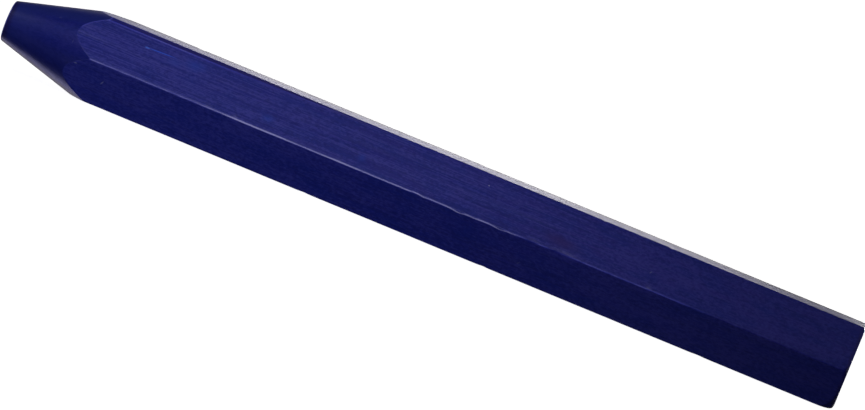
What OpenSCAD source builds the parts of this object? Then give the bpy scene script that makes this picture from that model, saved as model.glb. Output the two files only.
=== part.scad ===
// Hexagonal marking crayon: a solid pigmented wax stick with a thin glaze over it.
// The stick lies on one flat, nose towards -X and butt towards +X, with +Z up.
// The origin is on the surface that it lies on, halfway along it.

/* [Stick] */
// Overall length, from the nose to the butt
stick_length = 120; // [80:1:160]
// Distance across two opposite flats
across_flats = 11.8; // [8:0.1:16]
// Radius of the six long arrises
arris_r = 0.4; // [0.35:0.05:1]

/* [Nose] */
// Radius at which the cone's line meets the nose plane
nose_r = 2.8; // [1.8:0.05:3.3]
// Slope of the turned cone, from its own axis
cone_angle = 15.5; // [10:0.1:30]
// How far the cone's axis lies from the stick's axis, towards -Y
cone_offset = 0.45; // [0:0.05:0.5]
// Radius of the nose's worn rim
nose_rim_r = 0.35; // [0.35:0.05:0.8]

/* [Butt] */
// Radius of the butt's six worn corners
butt_corner_r = 0.8; // [0.35:0.05:1.5]

/* [Glaze] */
// Thickness of the glaze film
film_t = 0.15; // [0.05:0.05:0.3]
// Width of the flat lip that the film forms round the bare nose
film_lip = 0.3; // [0.1:0.05:0.5]

/* [Hidden] */
$fn = 96;
glaze_colour = [0.12, 0.13, 0.38];
core_colour = [0.1, 0.1, 0.33];
// How far the cutting shapes run past the stick
overrun = 1;
// Angle between neighbouring points on the worn edges
arc_step = 15;
// Where the butt's worn corner turns into the arrises, short of running along them
butt_arc_start = 15;
// Crest of an arris, from the stick's axis
crest_r = (across_flats / 2 - arris_r) / cos(30) + arris_r;
// Radius that clears the whole stick, from either axis
clear_r = crest_r + cone_offset + overrun;
// Edge of the nose's flat, where its rim starts to curve
nose_flat_r = nose_r - nose_rim_r * tan((90 - cone_angle) / 2);

function unit(angle) = [cos(angle), sin(angle)];

// Points of an arc round a centre
function arc(centre, r, start, end) =
    let (steps = ceil(abs(end - start) / arc_step))
    [for (i = [0:steps]) centre + r * unit(start + (end - start) * i / steps)];

// The point at radius r on the line that leaves p at an angle to the axis
function out_to(p, angle, r) = [r, p[1] + (r - p[0]) / tan(angle)];

// Cross section, at a depth below the skin
module section(depth) {
    arris_centre = crest_r - arris_r;
    r = arris_r - depth;
    polygon([for (i = [0:5], p = arc(arris_centre * unit(60 * i), r, 60 * i - 30, 60 * i + 30)) p]);
}

// Turned solid that leaves the cone and the nose, at a depth below the skin.
// nose holds the outline's points from the axis to the start of the nose's rim.
module cone_end(depth, nose) {
    rim = arc([nose_flat_r, nose_rim_r], nose_rim_r - depth, -90, -cone_angle);
    far = stick_length + 2 * overrun;
    translate([-cone_offset, 0, 0])
        rotate_extrude()
            polygon(concat(nose, rim,
                [out_to(rim[len(rim) - 1], cone_angle, clear_r)], [[clear_r, far], [0, far]]));
}

// Turned solid that leaves the butt with its worn corners, at a depth below the skin
module butt_end(depth) {
    corner = arc([crest_r - butt_corner_r, stick_length - butt_corner_r],
        butt_corner_r - depth, butt_arc_start, 90);
    near = -2 * overrun;
    rotate_extrude()
        polygon(concat([[0, near], [clear_r, near]],
            [out_to(corner[0], -butt_arc_start, clear_r)],
            corner, [[0, stick_length - depth]]));
}

// The stick, standing on its nose, at a depth below the skin
module stick(depth, nose) {
    intersection() {
        translate([0, 0, -3 * overrun])
            linear_extrude(stick_length + 6 * overrun) section(depth);
        cone_end(depth, nose);
        butt_end(depth);
    }
}

// The core reaches the nose plane inside the film's lip, and z is that plane
function core_nose(z) =
    let (bare_r = nose_flat_r - film_lip)
    [[0, z], [bare_r, z], [bare_r, film_t]];

// Lays a standing stick on its flat
module lie_down() {
    translate([-stick_length / 2, 0, across_flats / 2])
        rotate([90, 0, 90]) children();
}

// Solid stick of wax, clay and pigment, bare only on the nose
module marking_core() {
    color(core_colour)
        lie_down() stick(film_t, core_nose(0));
}

// Thin lacquer over the flats, the cone and the butt
module glaze_film() {
    color(glaze_colour)
        lie_down()
            difference() {
                stick(0, [[0, 0]]);
                stick(film_t, core_nose(-overrun));
            }
}

marking_core();
glaze_film();
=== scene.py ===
"""Looks of the hexagonal marking crayon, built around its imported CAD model.

Lengths are in millimetres up to the moment a mesh is written, and metres from there on.
Along the stick, x is counted from the nose plane. Round the stick, angles are in degrees in the
Y-Z plane, from +Y up towards +Z, so the arris that points at the camera is at 180.
In the materials and for the lights, x is counted from the middle of the stick.
"""
import math
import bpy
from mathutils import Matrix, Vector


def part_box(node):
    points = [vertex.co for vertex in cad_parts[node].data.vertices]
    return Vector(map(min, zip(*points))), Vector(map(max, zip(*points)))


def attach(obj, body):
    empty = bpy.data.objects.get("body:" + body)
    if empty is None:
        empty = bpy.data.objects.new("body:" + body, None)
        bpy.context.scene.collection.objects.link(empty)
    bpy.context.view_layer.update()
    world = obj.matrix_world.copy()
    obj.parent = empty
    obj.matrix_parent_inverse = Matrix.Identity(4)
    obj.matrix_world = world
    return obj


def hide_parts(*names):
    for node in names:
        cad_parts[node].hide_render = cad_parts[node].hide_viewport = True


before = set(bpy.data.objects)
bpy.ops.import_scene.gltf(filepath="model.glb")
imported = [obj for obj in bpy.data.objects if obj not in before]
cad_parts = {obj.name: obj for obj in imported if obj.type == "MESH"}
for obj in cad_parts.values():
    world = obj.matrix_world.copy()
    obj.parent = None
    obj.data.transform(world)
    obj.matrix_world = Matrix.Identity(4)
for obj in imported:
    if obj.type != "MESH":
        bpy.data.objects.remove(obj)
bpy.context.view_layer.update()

from types import SimpleNamespace

import bpy
import numpy as np
from mathutils import Matrix, Vector

MM = 0.001
film_low, film_high = (np.array(corner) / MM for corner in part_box("glaze_film"))
core_high = np.array(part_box("marking_core")[1]) / MM

# Sizes from the frame
LENGTH = film_high[0] - film_low[0]
HALF_LENGTH = LENGTH / 2
HALF_FLATS = (film_high[2] - film_low[2]) / 2
CREST_R = film_high[1]
AXIS_Z = (film_high[2] + film_low[2]) / 2
FILM = film_high[0] - core_high[0]

# Sizes that the frame's boxes don't give, as the CAD has them: the nose, the cone, the nose's worn
# rim, which turns through RIM_END degrees, and the disc of bare core inside the film's lip
NOSE_R = 2.8
CONE_ANGLE = 15.5
CONE_OFFSET = 0.45
CONE_SLOPE = math.tan(math.radians(CONE_ANGLE))
RIM_R = 0.35
RIM_END = 90 - CONE_ANGLE
NOSE_FLAT_R = NOSE_R - RIM_R * math.tan(math.radians(RIM_END / 2))
LIP = 0.3
BARE_R = NOSE_FLAT_R - LIP

# Arrises are numbered from the one at +Y round towards +Z, and each flat has the number of the arris
# before it
TOP_NEAR, MIDDLE_NEAR, BOTTOM_NEAR = 2, 3, 4
TOP, UPPER_FRONT = 1, 2


# ---------------------------------------------------------------- smooth random shapes

# How far along and across the random shapes reach
FIELD_X, FIELD_W = 200, 100


def ease(t):
    """t from 0 to 1, with a slow start and a slow end."""
    return t * t * (3 - 2 * t)


def wander(x, seed, spacing):
    """Smooth random curve along x, from -1 to 1, with a new value every spacing."""
    knots = np.random.default_rng(seed).uniform(-1, 1, int(FIELD_X / spacing) + 8)
    place = np.asarray(x, float) / spacing + 2
    cell = np.floor(place).astype(int)
    t = ease(place - cell)
    return knots[cell] * (1 - t) + knots[cell + 1] * t


def relief(x, w, seed, spacing_x, spacing_w):
    """Smooth random surface over x and w, from -1 to 1."""
    grid = np.random.default_rng(seed).uniform(
        -1, 1, (int(FIELD_X / spacing_x) + 8, int(FIELD_W / spacing_w) + 8))
    px, pw = x / spacing_x + 2, w / spacing_w + 4
    cx, cw = np.floor(px).astype(int), np.floor(pw).astype(int)
    tx, tw = ease(px - cx), ease(pw - cw)
    return ((grid[cx, cw] * (1 - tx) + grid[cx + 1, cw] * tx) * (1 - tw)
            + (grid[cx, cw + 1] * (1 - tx) + grid[cx + 1, cw + 1] * tx) * tw)


def bump(x, centre, width):
    """Round hump of height 1, which has faded out about two widths from its centre."""
    return np.exp(-((x - centre) / width) ** 2)


def soft_min(a, b, k):
    """The smaller of two radii, with the corner between them rounded inwards by k / 4."""
    h = np.maximum(k - np.abs(a - b), 0) / k
    return np.minimum(a, b) - h * h * k / 4


# ---------------------------------------------------------------- the skin's radius

# How deep each arris is worn below its sharp edge: the usual depth, and how much it varies
WEAR_DEPTH = {0: (0.085, 0.015), 1: (0.07, 0.02), 2: (0.03, 0.012),
              3: (0.078, 0.007), 4: (0.06, 0.015), 5: (0.075, 0.02)}
# Extra depth of the bevel on the upper arris near the camera: distance from the nose, and depth
TOP_BEVEL = np.array([(10, 0.19), (24, 0.2), (40, 0.14), (47, 0.06), (70, 0.04), (120, 0.02)]).T
SHARP_R = HALF_FLATS / math.cos(math.radians(30))
# Shallow V in the upper front flat, which draws out the tip of its arch: depth, place and half width
# across the flat, and the x where it fades
TIP_DEPTH, TIP_PLACE, TIP_REACH, TIP_END = 0.03, 0.45, 1.6, 13
# Dents in the arrises: arris, x, half length, depth
DENTS = [
    (MIDDLE_NEAR, 29.4, 0.3, 0.04), (MIDDLE_NEAR, 33.2, 0.3, 0.06), (MIDDLE_NEAR, 47.9, 0.3, 0.04),
    (MIDDLE_NEAR, 91.5, 0.5, 0.08), (MIDDLE_NEAR, 79.8, 1.6, 0.06), (MIDDLE_NEAR, 75.5, 0.7, 0.04),
    (TOP_NEAR, 83.1, 0.35, 0.06), (TOP_NEAR, 92.6, 0.3, 0.08), (TOP_NEAR, 57.5, 0.5, 0.04),
    (BOTTOM_NEAR, 45.0, 0.6, 0.05), (BOTTOM_NEAR, 70.5, 0.5, 0.06), (BOTTOM_NEAR, 101.0, 0.7, 0.05),
    (0, 38.0, 0.6, 0.09), (0, 71.0, 0.4, 0.07), (0, 96.0, 0.8, 0.06),
    (1, 25.0, 0.4, 0.06), (1, 66.0, 0.7, 0.07), (5, 52.0, 0.5, 0.07), (5, 88.0, 0.6, 0.06),
]
DENT_HALF_WIDTH = 0.35
# Small knocks along the arris that points at the camera: x, half length, shift downwards
KNOCKS = [(58.9, 0.6, -0.1), (60.2, 0.4, 0.05), (65.1, 0.8, 0.17),
          (67.3, 0.9, 0.08), (71.0, 0.9, 0.17), (72.7, 0.5, 0.06)]
# Degrees that the worn face of that arris turns for each millimetre of shift
KNOCK_TURN = 50
# How deep the turned cone lies in the true one, before the tool's rings are added
TURNED_DEPTH = 0.006
# Radius of each butt corner, by arris
BUTT_CORNER = np.array([0.8, 0.6, 0.45, 0.8, 2.1, 1.0])
# Least gap between the skin and the sides of the CAD box
BOX_GAP = 0.001


def nearest_arris(angle):
    """Number of the arris nearest to each angle, and the degrees from its crest."""
    return np.round(angle / 60).astype(int) % 6, (angle + 30) % 60 - 30


def knocks(x):
    """How far the knocks push that arris down at each x."""
    shifts = sum(shift * bump(x, centre, reach) for centre, reach, shift in KNOCKS)
    return shifts + 0.015 * wander(x, 104, 1.3)


def facet_distance(facet, x, w):
    """Distance of a flat from the axis at x and at w across it: a little hollow, wavy and streaked."""
    wave = 0.012 * (1 + wander(x, 10 + facet, 17)) + 0.004 * (1 + wander(x, 20 + facet, 4.3))
    hollow = 0.012 * np.maximum(0, 1 - (w / 3.0) ** 2)
    if facet == UPPER_FRONT:
        tip = TIP_DEPTH * np.maximum(0, 1 - np.abs(w - TIP_PLACE) / TIP_REACH)
        hollow = hollow + tip / (1 + np.exp(x - TIP_END))
    streaks = (0.0025 * (1 + relief(x, w, 30 + facet, 20, 0.8))
               + 0.0012 * (1 + relief(x, w, 40 + facet, 7, 0.6)))
    lumps = (0.0015 if facet == TOP else 0.004) * (1 + relief(x, w, 50 + facet, 2.6, 1.6))
    return HALF_FLATS - wave - hollow - streaks - lumps


def arris_cut(arris, x, offset):
    """Radius of the worn face on an arris, offset degrees round from its crest."""
    depth, change = WEAR_DEPTH[arris]
    depth = depth + change * wander(x, 60 + arris, 6) + 0.4 * change * wander(x, 70 + arris, 1.1)
    tilt = 3.0 * wander(x, 80 + arris, 9) + 2.0 * wander(x, 90 + arris, 2.1)
    if arris == TOP_NEAR:
        depth = depth + np.interp(x, *TOP_BEVEL)
        tilt = tilt * 0.3
    if arris == MIDDLE_NEAR:
        depth = depth + 0.02 * bump(x, 67, 10) * wander(x, 101, 1.7)
        tilt = tilt * 0.7 + KNOCK_TURN * knocks(x)
    return (SHARP_R - depth) / np.cos(np.radians(offset - tilt))


def hexagon_radius(x, angle):
    """Radius of the worn hexagon at each x and angle."""
    arris, offset = nearest_arris(angle)
    result = np.zeros_like(x)
    for a in range(6):
        pick = arris == a
        xs, off = x[pick], offset[pick]
        sides = []
        for facet, turn in ((a, -30), ((a - 1) % 6, 30)):
            tilt = np.radians(off + turn)
            sides.append(facet_distance(facet, xs, HALF_FLATS * np.tan(tilt)) / np.cos(tilt))
        r = soft_min(sides[0], sides[1], 0.05)
        result[pick] = soft_min(r, arris_cut(a, xs, off), 0.02)
    return result


def ring_shift(x):
    """How far a ring's centre lies from the stick's axis: on the cone's axis at the nose."""
    return CONE_OFFSET * ease(np.clip(1 - x / 8, 0, 1))


def cone_radius(x, angle, depth=0.0):
    """Radius of the true cone, less a depth, from the centre of the ring at x."""
    r = NOSE_R + CONE_SLOPE * x - depth * math.hypot(1, CONE_SLOPE)
    turn, off = np.radians(angle), CONE_OFFSET - ring_shift(x)
    return np.sqrt(r ** 2 - (off * np.sin(turn)) ** 2) - off * np.cos(turn)


def lathe_radius(x, angle):
    """Radius of the turned cone, with the tool's faint rings."""
    rings = (0.0025 * wander(x, 110, 0.42) + 0.0015 * wander(x, 111, 0.17)
             + 0.004 * relief(x, angle / 6, 112, 2.5, 2.6))
    return cone_radius(x, angle) - TURNED_DEPTH + rings


def past_cone(x, angle):
    """How far the cone's surface would stand outside the hexagon: negative on the cone."""
    return lathe_radius(x, angle) - hexagon_radius(x, angle)


def butt_radius(x, angle):
    """Radius that the worn corners of the butt leave, and a large one before them."""
    place = (angle % 360) / 60
    low = np.floor(place).astype(int) % 6
    t = place - np.floor(place)
    c = BUTT_CORNER[low] * (1 - t) + BUTT_CORNER[(low + 1) % 6] * t
    rise = np.clip((x - (LENGTH - c)) / c, 0, 1)
    return np.where(rise > 0, CREST_R - c + c * np.sqrt(1 - rise ** 2), CREST_R + 1)


def skin_radius(x, angle):
    """Radius of the outer skin at each x and angle, before the two ends turn in."""
    r = soft_min(hexagon_radius(x, angle), lathe_radius(x, angle), 0.02)
    r = soft_min(r, butt_radius(x, angle), 0.08)
    for arris, centre, reach, depth in DENTS:
        across = ((angle - 60 * arris + 180) % 360 - 180) * math.radians(CREST_R)
        r = r - depth * bump(x, centre, reach) * bump(across, 0, DENT_HALF_WIDTH)
    return np.minimum(r, (CREST_R - BOX_GAP) / np.maximum(np.abs(np.cos(np.radians(angle))), 0.1))


# ---------------------------------------------------------------- rings and meshes

# Distance between rings on the cone, just past the arches, along the body and at the dents, and the
# smallest distance that is kept where the last two overlap
CONE_STEP, ARCH_STEP, BODY_STEP, DENT_STEP, LEAST_STEP = 0.24, 0.3, 0.46, 0.2, 0.09
# Range of x in which the arches are looked for, and the x from which the rings lie square again
ARCH_RANGE = (7.0, 18.0)
SQUARE_START = 18.5
# The rings are spaced as if every arch were a straight ring at this x, and then drawn onto the arches
ARCH_MIDDLE = 13


def around():
    """Angles of the points of one ring, close together at the arrises."""
    side = HALF_FLATS * math.tan(math.radians(30))
    fine = np.array([0, 0.06, 0.12, 0.18, 0.25, 0.36, 0.52, 0.76])
    from_arris = np.concatenate([fine, np.linspace(1.08, side, 8)])
    half = np.degrees(np.arctan((side - from_arris) / HALF_FLATS))
    flat = np.concatenate([-half, half[-2:0:-1]])
    return np.concatenate([30 + 60 * facet + flat for facet in range(6)])


ANGLES = around()


def arch_place(angle):
    """Where the cone meets the hexagon at each angle, found by halving the range."""
    low, high = (np.full_like(angle, x) for x in ARCH_RANGE)
    for _ in range(30):
        middle = (low + high) / 2
        past = past_cone(middle, angle) > 0
        low, high = np.where(past, low, middle), np.where(past, middle, high)
    return middle


def stations():
    """Places of the rings, one for each angle: they follow the arches, and are closer at the dents."""
    start = RIM_R * (1 - math.cos(math.radians(RIM_END))) + 0.08
    arch, middle, end = arch_place(ANGLES), ARCH_MIDDLE, SQUARE_START
    near = np.array([0.03, 0.07, 0.12, 0.2, 0.32, 0.5, 0.75])
    cone = np.concatenate([np.arange(start, middle - 0.9, CONE_STEP), middle - near[::-1]])
    body = np.concatenate([[middle], middle + near, np.arange(middle + 1, end, ARCH_STEP)])
    rows = [start + (s - start) * (arch - start) / (middle - start) for s in cone]
    rows += [arch + (s - middle) * (end - arch) / (end - middle) for s in body]
    spans = [np.arange(end + 0.2, LENGTH - 2.1, BODY_STEP), LENGTH - np.linspace(0.22, 2.0, 15)]
    spans += [np.arange(c - 2 * reach, c + 2 * reach, DENT_STEP) for _, c, reach, _ in DENTS]
    merged = np.sort(np.concatenate(spans))
    merged = merged[np.concatenate([[True], np.diff(merged) > LEAST_STEP])]
    return rows + [np.full_like(ANGLES, x) for x in merged]


def ring(x, r, angles=ANGLES):
    """Points of a ring, in metres in the row's frame, from distances along and out from the axis."""
    x, r = np.broadcast_to(x, angles.shape), np.broadcast_to(r, angles.shape)
    turn = np.radians(angles)
    y = r * np.cos(turn) - ring_shift(x)
    return np.column_stack([film_low[0] + x, y, AXIS_Z + r * np.sin(turn)]) * MM


def closed_mesh(name, rings):
    """Mesh through rings of equal count, closed by a fan at each end."""
    n = len(rings[0])
    first, last = rings[0].mean(0), rings[-1].mean(0)
    points = np.vstack([*rings, first[None], last[None]])
    a = np.arange(n)
    b = (a + 1) % n
    rows = np.arange(len(rings) - 1)[:, None] * n
    quads = np.stack([rows + a, rows + b, rows + n + b, rows + n + a], -1).reshape(-1, 4)
    start, end = len(rings) * n, len(rings) * n + 1
    fan_start = np.column_stack([b, a, np.full(n, start)])
    tail = (len(rings) - 1) * n
    fan_end = np.column_stack([tail + a, tail + b, np.full(n, end)])
    mesh = bpy.data.meshes.new(name)
    mesh.from_pydata(points.tolist(), [], quads.tolist() + fan_start.tolist() + fan_end.tolist())
    mesh.polygons.foreach_set("use_smooth", [True] * len(mesh.polygons))
    mesh.update()
    piece = bpy.data.objects.new(name, mesh)
    bpy.context.scene.collection.objects.link(piece)
    return piece


def point_attribute(piece, name, rings):
    """Writes a number on each point of a piece made by closed_mesh."""
    values = np.concatenate([*rings, [rings[0].mean()], [rings[-1].mean()]])
    attribute = piece.data.attributes.new(name, "FLOAT", "POINT")
    attribute.data.foreach_set("value", values.astype(np.float32))


def under_film(x, angles, gap=0.0):
    """Radius of the film's inner side, and of the core under it, less a gap."""
    depth = FILM + gap
    offset = nearest_arris(angles)[1]
    flats = [(HALF_FLATS - depth) / np.cos(np.radians(offset + turn)) for turn in (-30, 30)]
    return soft_min(soft_min(flats[0], flats[1], 0.3), cone_radius(x, angles, depth), 0.05)


def inner_rings(gap=0.0):
    """Rings of the film's inner side, from the butt's centre to the nose opening."""
    depth = FILM + gap
    last = LENGTH - 1.5
    cone, arches, body = np.arange(0.4, 10, 1.2), np.arange(10.4, 16.6, 0.3), np.linspace(20, last, 9)
    rings = [ring(x, under_film(x, ANGLES, gap)) for x in np.concatenate([cone, arches, body])]
    end = under_film(last, ANGLES, gap)
    for from_butt, inset in ((0.9, 0.02), (0.5, 0.12), (depth + 0.12, 0.4)):
        rings.append(ring(LENGTH - from_butt, end - inset))
    for share in (1, 0.6, 0.25):
        rings.append(ring(LENGTH - depth - 0.1, (end - 0.6) * share))
    return rings[::-1]


# ---------------------------------------------------------------- worn glaze and painted highlight, from 0 to about 1.4

# Wear of the arris that points at the camera, with a highlight painted along it: distance from the nose,
# and amount
MIDDLE_WEAR_AND_HIGHLIGHT = np.array([
    (10, 0.55), (26, 0.58), (31, 0.75), (33.5, 1.4), (39, 1.4), (42, 0.8), (45, 0.95), (48, 1.4),
    (52, 0.88), (60, 0.9), (68, 1.0), (73, 0.85), (75, 0.05), (76.5, 0.5), (78.5, 0.05), (80.5, 0.2),
    (82, 0.46), (95, 0.48), (99, 0.1), (102, 0), (120, 0)]).T
# Painted highlight at the foot of the bevel on the upper near arris, where its edge catches the light:
# distance from the nose, and share
BEVEL_FOOT_HIGHLIGHT = np.array([(12, 0.7), (20, 1), (40, 0.6), (60, 0)]).T
# Half width of the pale line on a crest: worn glaze, and on the arris that points at the camera a painted
# highlight too
LINE_WIDTH = 0.1
# Angles between which the edges of the arches are hardly rubbed
FAINT_ARCHES = (146, 240)
MOST_WEAR_AND_HIGHLIGHT = 1.4


def arris_wear(x, angle):
    """How far the glaze is worn pale on the arrises and on the edges of the arches, with a painted
    highlight on the arris that points at the camera and at the foot of the upper near bevel.
    """
    arris, offset = nearest_arris(angle)
    across = offset * math.radians(CREST_R)
    line = bump(across, np.where(arris == MIDDLE_NEAR, knocks(x), 0), LINE_WIDTH)
    amount = np.zeros_like(x)
    for a in range(6):
        usual = 0.35 + 0.3 * wander(x, 140 + a, 5) + 0.2 * wander(x, 150 + a, 0.9)
        if a == MIDDLE_NEAR:
            usual = np.interp(x, *MIDDLE_WEAR_AND_HIGHLIGHT) + 0.12 * wander(x, 153, 0.8)
        amount = np.where(arris == a, usual, amount)
    amount = np.where(arris == TOP_NEAR, 0.15 * amount, amount) * line
    # Painted highlight along the foot of the bevel on the upper near arris
    bevel_foot = math.tan(math.radians(60)) * (WEAR_DEPTH[TOP_NEAR][0] + np.interp(x, *TOP_BEVEL))
    foot = 0.62 * bump(across, bevel_foot + 0.05, 0.08) * np.interp(x, *BEVEL_FOOT_HIGHLIGHT)
    amount = amount + np.where(arris == TOP_NEAR, foot, 0)
    past = past_cone(x, angle)
    arch = 0.4 * bump(past, 0.01, 0.035) * (1 + 0.3 * wander(angle / 2, 157, 9))
    arch = arch * np.where((angle > FAINT_ARCHES[0]) & (angle < FAINT_ARCHES[1]), 0.1, 1)
    return np.clip(amount, 0, MOST_WEAR_AND_HIGHLIGHT) / (1 + np.exp(-past / 0.02)) + arch


# ---------------------------------------------------------------- the two pieces

def ring_relief(seed, spacing):
    """Smooth random values round one ring, from -1 to 1."""
    return relief(np.zeros_like(ANGLES), ANGLES / 6, seed, 5, spacing)


class FilmRings:
    """Rings of the film, with the two numbers that its material reads on each point."""

    def __init__(self):
        self.points, self.wear, self.turned = [], [], []

    def add(self, points, worn=0.0, on_cone=0.0):
        """Adds a ring: how far it is worn pale, with the painted highlight on two arrises, and 1 where it
        lies on the turned cone.
        """
        self.points.append(points)
        self.wear.append(np.broadcast_to(worn, ANGLES.shape).astype(float))
        self.turned.append(np.broadcast_to(on_cone, ANGLES.shape).astype(float))


def nose_rings(film, rim_worn):
    """The lip round the bare nose, and the worn rim outside it."""
    opening = BARE_R + 0.05 + 0.03 * ring_relief(120, 1.3)
    for x, out, worn in ((FILM - 0.02, 0, 0), (0.05, 0, 0), (0.012, 0.02, 0.5), (0.004, 0.07, 0.6)):
        film.add(ring(x, opening + out), worn, 1.0)
    for turn in np.linspace(0, RIM_END, 9):
        x = RIM_R * (1 - math.cos(math.radians(turn)))
        r = NOSE_FLAT_R + RIM_R * math.sin(math.radians(turn))
        share = turn / RIM_END
        worn = 0.8 * math.sin(math.pi * min(1, share + 0.15))
        film.add(ring(x + 0.004, r - rim_worn * share), worn, 1.0)


def side_rings(film, rim_worn):
    """The cone, the arches and the six flats."""
    for xs in stations():
        keep = np.exp(-np.maximum(0, xs - 0.5) / 1.2)
        on_cone = 1 / (1 + np.exp(past_cone(xs, ANGLES) / 0.01))
        film.add(ring(xs, skin_radius(xs, ANGLES) - rim_worn * keep), arris_wear(xs, ANGLES), on_cone)


def butt_sink(r, angle):
    """How far the butt's face lies inside the end plane: a shallow dish with the knife's marks."""
    y, z = r * np.cos(np.radians(angle)), r * np.sin(np.radians(angle))
    knife = 0.012 * (1 + wander(z * 0.9 + y * 0.35 + 20, 130, 0.7))
    broad = 0.02 * (1 + relief(y + 10, z + 10, 131, 4, 4))
    return (knife + broad) * np.clip((HALF_FLATS - r) / 0.8, 0, 1)


def butt_rings(film):
    """The rounded edge of the butt, and its face."""
    butt_edge = 0.16 + 0.04 * ring_relief(123, 3.3)
    for turn in np.radians(np.linspace(0, 90, 8)):
        x = LENGTH - butt_edge * (1 - math.sin(turn))
        r = skin_radius(x, ANGLES) - butt_edge * (1 - math.cos(turn))
        film.add(ring(x, r), 0.35 * math.sin(2 * turn))
    last = film.points[-1]
    edge = np.hypot(last[:, 1], last[:, 2] - AXIS_Z * MM) / MM
    for share in (0.985, 0.95, 0.9, 0.83, 0.74, 0.64, 0.53, 0.42, 0.31, 0.2, 0.1, 0.04):
        film.add(ring(LENGTH - butt_sink(edge * share, ANGLES), edge * share))


def film_skin():
    """The glaze film: outer skin with its worn places and painted highlights, the lip round the bare
    nose, and the inner side.
    """
    film = FilmRings()
    for inner in inner_rings():
        film.add(inner)
    rim_worn = 0.02 * (1 + ring_relief(121, 2.1)) + 0.008 * (1 + ring_relief(122, 0.5))
    nose_rings(film, rim_worn)
    side_rings(film, rim_worn)
    butt_rings(film)
    piece = closed_mesh("glaze_skin", film.points)
    point_attribute(piece, "wear", film.wear)
    point_attribute(piece, "turned", film.turned)
    return piece


def bare_core():
    """The core: a smeared disc in the nose's opening, on a plain stick that fills the film."""
    rings = inner_rings(gap=0.01)
    rings.append(ring(FILM + 0.02, BARE_R + 0.03))
    rings.append(ring(0.06, BARE_R + 0.03))
    for share in (1, 0.97, 0.92, 0.85, 0.76, 0.66, 0.55, 0.44, 0.33, 0.22, 0.12, 0.05):
        r = (BARE_R + 0.02) * share
        y, z = r * np.cos(np.radians(ANGLES)), r * np.sin(np.radians(ANGLES))
        smear = (0.014 * (1 + relief(y + 20, z + 20, 160, 1.6, 0.25))
                 + 0.008 * (1 + relief(y + 20, z + 20, 161, 0.4, 0.4)))
        rings.append(ring(0.012 + smear + 0.03 * share ** 8, r))
    return closed_mesh("core_stick", rings)


# ---------------------------------------------------------------- materials

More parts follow.
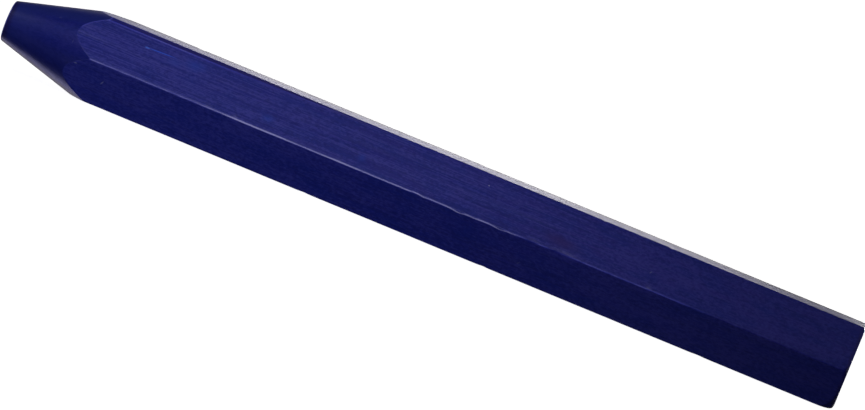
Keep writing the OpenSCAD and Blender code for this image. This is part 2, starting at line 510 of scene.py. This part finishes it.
class Shade:
    """A material's node tree, with short calls for the nodes that are used here."""

    def __init__(self, name):
        self.material = bpy.data.materials.new(name)
        self.material.use_nodes = True
        self.tree = self.material.node_tree
        self.tree.nodes.clear()
        self.surface = self.tree.nodes.new("ShaderNodeBsdfPrincipled")
        output = self.tree.nodes.new("ShaderNodeOutputMaterial")
        self.tree.links.new(self.surface.outputs[0], output.inputs["Surface"])
        place = self.tree.nodes.new("ShaderNodeTexCoord").outputs["Object"]
        self.place = self.vector("SCALE", place, scale=1 / MM)
        split = self.tree.nodes.new("ShaderNodeSeparateXYZ")
        self.plug(self.place, split.inputs[0])
        self.x, self.y, self.z = split.outputs

    def plug(self, value, socket):
        """Links an output to a socket, or sets the socket to a plain value."""
        if isinstance(value, bpy.types.NodeSocket):
            self.tree.links.new(value, socket)
        else:
            socket.default_value = value

    def vector(self, operation, a, b=None, scale=None):
        """Vector math node."""
        node = self.tree.nodes.new("ShaderNodeVectorMath")
        node.operation = operation
        self.plug(a, node.inputs[0])
        if b is not None:
            self.plug(b, node.inputs[1])
        if scale is not None:
            node.inputs["Scale"].default_value = scale
        return node.outputs[0]

    def math(self, operation, a, b=0.0):
        """Math node."""
        node = self.tree.nodes.new("ShaderNodeMath")
        node.operation = operation
        self.plug(a, node.inputs[0])
        self.plug(b, node.inputs[1])
        return node.outputs[0]

    def times(self, *values):
        """Product of values."""
        product = values[0]
        for value in values[1:]:
            product = self.math("MULTIPLY", product, value)
        return product

    def blend(self, *parts):
        """Sum of values, each times its weight."""
        products = [self.math("MULTIPLY", value, weight) for value, weight in parts]
        total = products[0]
        for product in products[1:]:
            total = self.math("ADD", total, product)
        return total

    def noise(self, cells, detail=2.0, roughness=0.6, shift=0.0):
        """Noise from 0 to 1 with cells of this size, in mm along X, Y and Z."""
        place = self.vector("MULTIPLY", self.place, [1 / c for c in cells])
        place = self.vector("ADD", place, (shift, shift * 1.7, shift * 0.6))
        node = self.tree.nodes.new("ShaderNodeTexNoise")
        self.plug(place, node.inputs["Vector"])
        node.inputs["Scale"].default_value = 1.0
        node.inputs["Detail"].default_value = detail
        node.inputs["Roughness"].default_value = roughness
        return node.outputs["Fac"]

    def span(self, value, low, high, to_low=0.0, to_high=1.0):
        """value moved smoothly from low..high to to_low..to_high, and held there."""
        node = self.tree.nodes.new("ShaderNodeMapRange")
        node.interpolation_type = "SMOOTHSTEP"
        for name, v in (("Value", value), ("From Min", low), ("From Max", high),
                        ("To Min", to_low), ("To Max", to_high)):
            self.plug(v, node.inputs[name])
        return node.outputs["Result"]

    def mix(self, share, a, b):
        """Colour a, with a share of colour b."""
        node = self.tree.nodes.new("ShaderNodeMix")
        node.data_type = "RGBA"
        for name, v in (("Factor_Float", share), ("A_Color", a), ("B_Color", b)):
            socket = next(i for i in node.inputs if i.identifier == name)
            self.plug((*v, 1) if isinstance(v, tuple) else v, socket)
        return next(o for o in node.outputs if o.identifier == "Result_Color")

    def attribute(self, name):
        """Number that the mesh has on its points."""
        node = self.tree.nodes.new("ShaderNodeAttribute")
        node.attribute_name = name
        return node.outputs["Fac"]

    def spot(self, x, z, half_x, half_z, turn=0.0, edge=0.5):
        """Soft oval on the side at -Y, x from the middle of the stick and z from the floor, in mm."""
        c, s = math.cos(math.radians(turn)), math.sin(math.radians(turn))
        dx, dz = self.math("SUBTRACT", self.x, x), self.math("SUBTRACT", self.z, z)
        along = self.blend((dx, c / half_x), (dz, s / half_x))
        over = self.blend((dz, c / half_z), (dx, -s / half_z))
        out = self.math("SQRT", self.blend((along, along), (over, over)))
        inside = self.span(out, edge, 1.0, 1.0, 0.0)
        return self.times(inside, self.math("LESS_THAN", self.y, 0.0))

    def relief(self, height, depth):
        """Bump from a height of 0 to 1, depth in mm."""
        node = self.tree.nodes.new("ShaderNodeBump")
        node.inputs["Distance"].default_value = depth * MM
        node.inputs["Strength"].default_value = 1.0
        self.plug(height, node.inputs["Height"])
        self.plug(node.outputs["Normal"], self.surface.inputs["Normal"])


WAX_IOR = 1.45
# The body's two blues, its darker streaks and its pale threads
BLUE, PURPLE = (0.001, 0.013, 0.32), (0.013, 0.009, 0.3)
DEEP, PALE = (0.001, 0.006, 0.2), (0.058, 0.064, 0.5)
# Glaze worn thin beside an arris, and worn through on it; both colours also paint the highlight on the
# arris that points at the camera and at the foot of the upper near bevel
THIN_AND_HIGHLIGHT, RUBBED_AND_HIGHLIGHT = (0.06, 0.068, 0.55), (0.46, 0.46, 1.0)
# Marks: bright patches, chalky specks, the plum patch, the scratch and its bright end, and the
# lavender band just under the upper near arris
VIVID, CHALK, PLUM = (0.006, 0.05, 0.55), (0.26, 0.28, 0.6), (0.026, 0.005, 0.17)
SCRATCH, SCRATCH_END, LAVENDER = (0.02, 0.075, 0.72), (0.05, 0.16, 0.9), (0.035, 0.03, 0.22)
# Painted shade; the hazy cone with painted light towards its top; both rims; and the far half of the top
# flat
PAINTED_SHADE, HAZE_AND_TOP_LIGHT = (0.004, 0.006, 0.1), (0.023, 0.036, 0.24)
PITCH, FAR_TOP_TONE = (0.012, 0.004, 0.06), (0.03, 0.024, 0.06)

# Marks on the side at -Y: x from the middle of the stick and z from the floor, half lengths along and
# across, turn, soft edge from 0 to 1, colour and strength
MARKS = [
    (-28.0, 11.57, 24.0, 0.22, 0, 0.7, LAVENDER, 0.8),
    (-39.2, 10.02, 2.6, 0.12, 2, 0.4, SCRATCH, 1.0),
    (-41.1, 9.94, 0.45, 0.15, 4, 0.3, SCRATCH_END, 0.9),
    (-34.4, 10.1, 2.2, 1.1, 5, 0.0, VIVID, 0.5),
    (-22.8, 7.5, 1.2, 0.7, 8, 0.0, VIVID, 0.5),
    (-37.0, 9.6, 1.6, 0.8, 0, 0.0, VIVID, 0.35),
    (-9.4, 7.5, 0.9, 0.7, 0, 0.0, VIVID, 0.45),
    (19.0, 7.3, 4.0, 1.1, -4, 0.0, PLUM, 0.6),
    (7.35, 10.3, 0.14, 0.12, 0, 0.4, CHALK, 0.9),
    (31.3, 8.0, 0.28, 0.12, 50, 0.3, CHALK, 0.35),
    (-53.3, 9.2, 0.3, 0.13, 10, 0.3, CHALK, 0.3),
    (-49.0, 4.65, 0.33, 0.12, 7, 0.3, CHALK, 0.5),
    (-44.85, 3.45, 0.42, 0.13, 58, 0.3, CHALK, 0.5),
    (-50.4, 7.1, 0.12, 0.3, 0, 0.3, CHALK, 0.18),
    (14.7, 2.4, 0.3, 0.12, 40, 0.3, CHALK, 0.2),
]


def glaze_noises(g):
    """The noises that the glaze's colour, gloss and bump share."""
    return SimpleNamespace(
        streaks=g.noise((24, 0.3, 0.3), detail=3),
        threads=g.noise((18, 0.15, 0.15), shift=7),
        dashes=g.noise((1.6, 0.2, 0.2), shift=9),
        clouds=g.noise((5, 1.8, 1.8), detail=3, shift=3),
        mottle=g.noise((0.5, 0.26, 0.26), shift=5),
        grain=g.noise((0.16, 0.16, 0.16), roughness=0.7))


def below_to_above(g, below, above):
    """A value that changes across the height of the arris that points at the camera."""
    return g.span(g.z, 5.0, 6.5, below, above)


def low_to_high_cone(g, low, high):
    """A value that changes from the cone's underside to its top."""
    return g.span(g.z, 4.5, 8.0, low, high)


def body_colour(g, n, on_cone):
    """Two blues mixed by clouds, with darker streaks, and pale threads, dashes and mottling."""
    purple = g.span(g.blend((n.clouds, 0.7), (n.streaks, 0.3)), 0.38, 0.6)
    purple = g.times(purple, g.span(g.x, -50.0, 50.0, 0.45, 1.0), below_to_above(g, 0.4, 1.0))
    colour = g.mix(purple, BLUE, PURPLE)
    deep = g.blend((n.mottle, 0.4), (n.streaks, 0.6))
    colour = g.mix(g.span(deep, 0.54, 0.4, 0.0, 0.6), colour, DEEP)
    drawn = g.times(g.math("SUBTRACT", n.threads, 0.5), g.span(g.x, 0.0, 35.0, 1.0, 0.2),
                    below_to_above(g, 0.35, 1.0))
    pale = g.blend((n.mottle, 0.5), (n.dashes, 0.25), (n.clouds, 0.25), (drawn, 0.8))
    less_from, less_to = g.span(g.x, -30.0, -8.0, 0.0, 0.035), g.span(g.x, 12.0, 28.0, 0.0, 0.035)
    pale = g.math("SUBTRACT", pale, g.math("SUBTRACT", less_from, less_to))
    pale = g.span(pale, 0.4, 0.63)
    off_cone = g.math("SUBTRACT", 1.0, on_cone)
    return g.mix(g.times(pale, g.span(off_cone, 0, 1, 0.5, 1.0), 0.52), colour, PALE)


def with_marks(g, colour):
    """The marks of the list above, over a colour."""
    for x, z, half_x, half_z, turn, edge, mark, strength in MARKS:
        spot = g.spot(x, z, half_x, half_z, turn, edge)
        colour = g.mix(g.times(spot, strength), colour, mark)
    return colour


def with_painted_light_and_dull_parts(g, colour, on_cone):
    """Painted shade towards the butt, below the arris that points at the camera and on the cone, most on
    its underside; a hazy cone with painted light towards its top; dull rims; a darker, warmer far half of
    the top flat.
    """
    # Painted shade: darker towards the butt and below the arris that points at the camera
    painted_shade_share = g.math("ADD", g.span(g.x, 0.0, HALF_LENGTH, 0.0, 0.4), below_to_above(g, 0.06, 0.0))
    colour = g.mix(painted_shade_share, colour, PAINTED_SHADE)
    # Painted shade on the cone, deepest on its underside
    colour = g.mix(g.times(on_cone, low_to_high_cone(g, 0.55, 0.3)), colour, PAINTED_SHADE)
    from_nose = g.math("ADD", g.x, HALF_LENGTH - 1)
    over_cone = g.math("SUBTRACT", g.z, g.times(from_nose, 0.21))
    # Haze near the nose, and a band of painted light along the cone's top; both grow towards the top
    haze_and_top_light = g.math("MAXIMUM", g.span(from_nose, 0.0, 6.0, 0.6, 0.1), g.span(over_cone, 7.4, 8.4, 0.0, 0.6))
    colour = g.mix(g.times(haze_and_top_light, on_cone, low_to_high_cone(g, 0.35, 1.0)), colour, HAZE_AND_TOP_LIGHT)
    nose_rim = g.span(g.x, 0.3 - HALF_LENGTH, 1.1 - HALF_LENGTH, 0.6, 0.0)
    butt_rim = g.span(g.x, HALF_LENGTH - 0.7, HALF_LENGTH - 0.1, 0.0, 0.6)
    colour = g.mix(g.math("ADD", nose_rim, butt_rim), colour, PITCH)
    # Darker and warmer on the far half of the top flat
    far_top_share = g.times(g.span(g.z, 11.2, 11.5), g.span(g.y, -0.5, 3.0, 0.0, 0.7))
    return g.mix(far_top_share, colour, FAR_TOP_TONE)


def glaze_material():
    """Deep blue lacquer over wax: drawn streaks, purple and blue clouds, marks, painted shade and light,
    and worn arrises with painted highlights.
    """
    g = Shade("glaze")
    n = glaze_noises(g)
    on_cone = g.attribute("turned")
    colour = with_marks(g, body_colour(g, n, on_cone))
    colour = with_painted_light_and_dull_parts(g, colour, on_cone)
    # Pale arrises: worn glaze, and on the arris that points at the camera and at the foot of the upper
    # near bevel a painted highlight
    worn = g.times(g.attribute("wear"), g.span(n.grain, 0.25, 0.6, 0.75, 1.0))
    rubbed_and_highlight = g.span(worn, 0.3, 0.95)
    colour = g.mix(g.span(worn, 0.0, 0.4), colour, THIN_AND_HIGHLIGHT)
    colour = g.mix(rubbed_and_highlight, colour, RUBBED_AND_HIGHLIGHT)
    g.plug(colour, g.surface.inputs["Base Color"])
    rough = g.math("ADD", g.span(n.streaks, 0.3, 0.7, 0.28, 0.38), g.times(rubbed_and_highlight, 0.15))
    g.plug(rough, g.surface.inputs["Roughness"])
    g.surface.inputs["IOR"].default_value = WAX_IOR
    g.relief(g.blend((n.threads, 0.5), (n.grain, 0.5)), 0.004)
    return g.material


def core_material():
    """Bare pressed wax and clay: matt, darker, with smears where it has been drawn across paper."""
    c = Shade("core")
    smear = c.noise((1.5, 1.4, 0.12), detail=4, roughness=0.7)
    grain = c.noise((0.1, 0.1, 0.1), detail=3, roughness=0.7)
    colour = c.mix(c.span(smear, 0.4, 0.65), (0.011, 0.014, 0.11), (0.04, 0.04, 0.24))
    colour = c.mix(c.span(grain, 0.6, 0.8, 0.0, 0.3), colour, (0.12, 0.12, 0.34))
    c.plug(colour, c.surface.inputs["Base Color"])
    c.plug(c.span(smear, 0.3, 0.7, 0.45, 0.75), c.surface.inputs["Roughness"])
    c.surface.inputs["IOR"].default_value = WAX_IOR
    c.relief(c.blend((smear, 0.7), (grain, 0.3)), 0.03)
    return c.material


def stage_material(name, grey, glow):
    """Plain pale surface that gives off part of its own light, so that shadows on it stay faint."""
    m = Shade(name)
    m.surface.inputs["Base Color"].default_value = (grey, grey, grey, 1)
    m.surface.inputs["Roughness"].default_value = 0.9
    m.surface.inputs["Specular IOR Level"].default_value = 0.0
    m.surface.inputs["Emission Color"].default_value = (1, 1, 1, 1)
    m.surface.inputs["Emission Strength"].default_value = glow
    return m.material


# ---------------------------------------------------------------- stage, in metres

STAGE_REACH = 6.0


def stage_piece(name, rings, material):
    """Round stage surface through rings of radius and height, seen but not reflected."""
    sides = 96
    turn = np.arange(sides) * 2 * math.pi / sides
    points = [(0, 0, rings[0][1])]
    faces = []
    for i, (radius, height) in enumerate(rings):
        points += [(radius * math.cos(t), radius * math.sin(t), height) for t in turn]
        for a in range(sides):
            b = (a + 1) % sides
            row = 1 + i * sides
            faces.append((0, row + a, row + b) if i == 0 else
                         (row - sides + a, row + a, row + b, row - sides + b))
    mesh = bpy.data.meshes.new(name)
    mesh.from_pydata(points, [], faces)
    mesh.materials.append(material)
    piece = bpy.data.objects.new(name, mesh)
    bpy.context.scene.collection.objects.link(piece)
    piece.visible_diffuse = piece.visible_glossy = piece.visible_shadow = False
    return piece


def floor_sheet():
    """The plain pale floor."""
    return stage_piece("floor", [(STAGE_REACH, 0)], stage_material("floor", grey=0.8, glow=0.98))


def backdrop():
    """A pale dome over the floor, for views that look above it."""
    arc = [math.radians(a) for a in range(85, -1, -5)]
    rings = [(STAGE_REACH * math.cos(a), STAGE_REACH * math.sin(a)) for a in arc]
    return stage_piece("backdrop", rings, stage_material("backdrop", grey=0.0, glow=1.05))


def camera_at_photo_angle():
    """Long lens low in front, tilted so that the stick falls from upper left to lower right."""
    yaw, rise, roll = (math.radians(a) for a in (3.51, 5.69, 22.1))
    distance, lens, sensor = 0.961, 303.8, 36
    aim = Vector((0.00116, 0, (AXIS_Z - 1.22) * MM))
    back = Vector((math.sin(yaw) * math.cos(rise), -math.cos(yaw) * math.cos(rise), math.sin(rise)))
    level = (-back).cross(Vector((0, 0, 1))).normalized()
    upward = level.cross(-back)
    right = math.cos(roll) * level + math.sin(roll) * upward
    up = math.cos(roll) * upward - math.sin(roll) * level
    camera = bpy.data.objects.new("camera", bpy.data.cameras.new("camera"))
    bpy.context.scene.collection.objects.link(camera)
    camera.matrix_world = Matrix((right, up, back)).transposed().to_4x4()
    camera.location = aim + back * distance
    camera.data.lens, camera.data.sensor_width = lens, sensor
    camera.data.clip_start, camera.data.clip_end = 0.05, 20
    bpy.context.scene.camera = camera


# ---------------------------------------------------------------- lights

# Lights on the crayon: name, angle above level on the camera's side, x, the x that it faces, distance
# from the axis, width and height, and watts
WIDE, LONG, LOW = (80, 80), (80, 60), (80, 40)
CRAYON_LIGHTS = [
    ("high_middle", 54, 20, 20, 160, WIDE, 0.0021), ("high_right", 54, 70, 70, 160, WIDE, 0.0028),
    ("front_left", 30, -80, -80, 160, WIDE, 0.0421), ("front_middle", 30, -30, -30, 160, WIDE, 0.0493),
    ("low_left", -33, -80, -80, 160, WIDE, 0.022), ("under_middle", -66, -30, -30, 160, WIDE, 0.0009),
    ("under_right", -66, 20, 20, 160, WIDE, 0.0014), ("rim_left", 174, -80, -48, 240, LOW, 0.0142),
    ("rim_middle", 174, -30, -18, 240, LOW, 0.0072), ("rim_right", 174, 110, 66, 240, LOW, 0.82),
    ("back_left", 150, -70, -42, 200, LONG, 0.0055), ("back_middle", 150, 0, 0, 200, LONG, 0.126),
    ("low_back", -142, -110, -66, 200, WIDE, 0.0135), ("under_back", -120, -110, -66, 200, WIDE, 0.04),
    ("nose_end", 69, -200, -50, 111, LONG, 0.0216), ("butt_end", 90, 300, 60, 34, WIDE, 0.04),
]
# The light that only glances off the gloss, so that the back of the crayon stays as dark as the front
GLINT = "rim_right"
# Colours of the lights behind the crayon: a little warm above, purple below, and one of them violet
BACK_TINT, LOW_TINT = (1.0, 0.965, 0.985), (1.0, 0.91, 1.0)
TINTS = {"under_back": (0.6, 0.57, 1.0)}


def group_of(name, *things):
    """Collection that a light can be limited to."""
    group = bpy.data.collections.new(name)
    for thing in things:
        group.objects.link(thing)
    return group


def soft_light(name, rise, x, aim_x, distance, size, power, lit):
    """Area light that faces the stick's axis at aim_x, in mm, and lights one group.

    rise is the angle above level on the camera's side, so that past 90 the light is behind.
    """
    data = bpy.data.lights.new(name, "AREA")
    data.shape, data.size, data.size_y = "RECTANGLE", size[0] * MM, size[1] * MM
    data.energy = power
    if abs(rise) > 90:
        data.color = TINTS.get(name, BACK_TINT if rise > 0 else LOW_TINT)
    light = bpy.data.objects.new(name, data)
    bpy.context.scene.collection.objects.link(light)
    turn = math.radians(rise)
    place = (x, -distance * math.cos(turn), AXIS_Z + distance * math.sin(turn))
    light.location = Vector(place) * MM
    aim = Vector((aim_x, 0, AXIS_Z)) * MM - light.location
    light.rotation_euler = aim.to_track_quat("-Z", "Y").to_euler()
    light.visible_camera = False
    light.visible_diffuse = name != GLINT
    light.light_linking.receiver_collection = lit


def sun(name, tilt, power, spread, lit):
    """Sun turned by tilt, in degrees, with a disc spread degrees wide, that lights one group."""
    data = bpy.data.lights.new(name, "SUN")
    data.energy, data.angle = power, math.radians(spread)
    light = bpy.data.objects.new(name, data)
    bpy.context.scene.collection.objects.link(light)
    light.rotation_euler = [math.radians(t) for t in tilt]
    light.light_linking.receiver_collection = lit


def soft_world(strength):
    """Even white light from all sides."""
    world = bpy.data.worlds.new("world")
    world.use_nodes = True
    background = world.node_tree.nodes["Background"]
    background.inputs["Color"].default_value = (1, 1, 1, 1)
    background.inputs["Strength"].default_value = strength
    bpy.context.scene.world = world


# ---------------------------------------------------------------- the scene

skin, core = film_skin(), bare_core()
skin.data.materials.append(glaze_material())
core.data.materials.append(core_material())
for piece, node, slot in ((skin, "glaze_film", "glaze"), (core, "marking_core", "core")):
    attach(piece, "root")
    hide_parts(node)

floor = floor_sheet()
backdrop()
camera_at_photo_angle()
soft_world(strength=0.02)
sun("floor_sun", tilt=(12, 0, 0), power=0.5, spread=60, lit=group_of("lit_floor", floor))
crayon_group = group_of("lit_crayon", skin, core)
for light in CRAYON_LIGHTS:
    soft_light(*light, crayon_group)

bpy.context.scene.view_settings.view_transform = "Standard"
